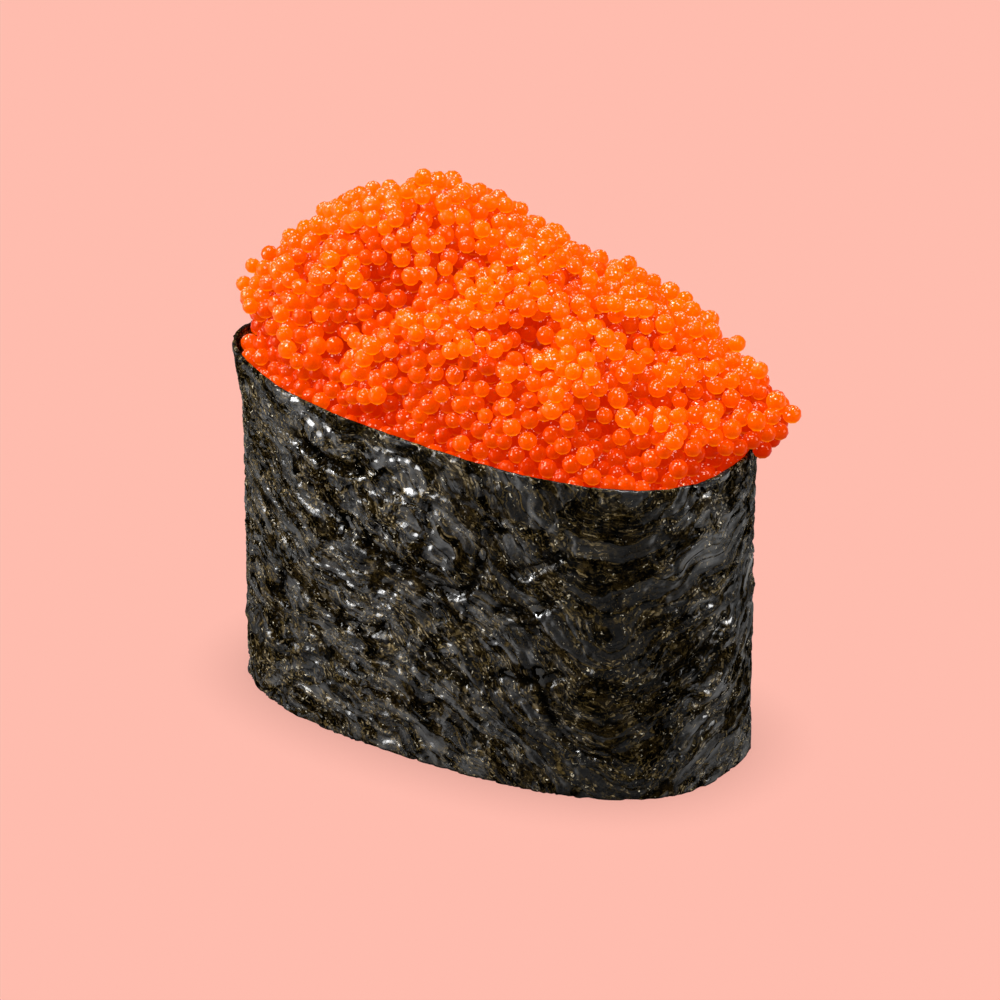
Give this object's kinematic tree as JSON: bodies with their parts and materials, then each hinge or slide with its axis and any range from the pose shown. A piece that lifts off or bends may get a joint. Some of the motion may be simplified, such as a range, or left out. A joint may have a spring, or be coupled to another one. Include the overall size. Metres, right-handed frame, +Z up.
{
  "type": "gunkan sushi",
  "caption": "Gunkan sushi: an oval band of nori round a block of rice, heaped with orange fish roe that spills a little over one end.",
  "frame": {"origin": "middle of the flat foot of the rice, on the surface that the sushi stands on", "axes": "+Z up, +X along the band's length towards its lower end, +Y towards the side where the nori laps over itself"},
  "size_m": [0.0542, 0.0285, 0.0522],
  "materials": {
    "nori": "roasted seaweed sheet, near black with a green-brown cast, glossy in streaks and specked with olive gold",
    "rice": "cooked short-grain rice, off-white, moist",
    "roe": "wet translucent orange fish eggs with sharp highlights"
  },
  "bodies": {
    "root": {"nori_band": "nori", "rice": "rice", "roe_heap": "roe"}
  },
  "joints": []
}
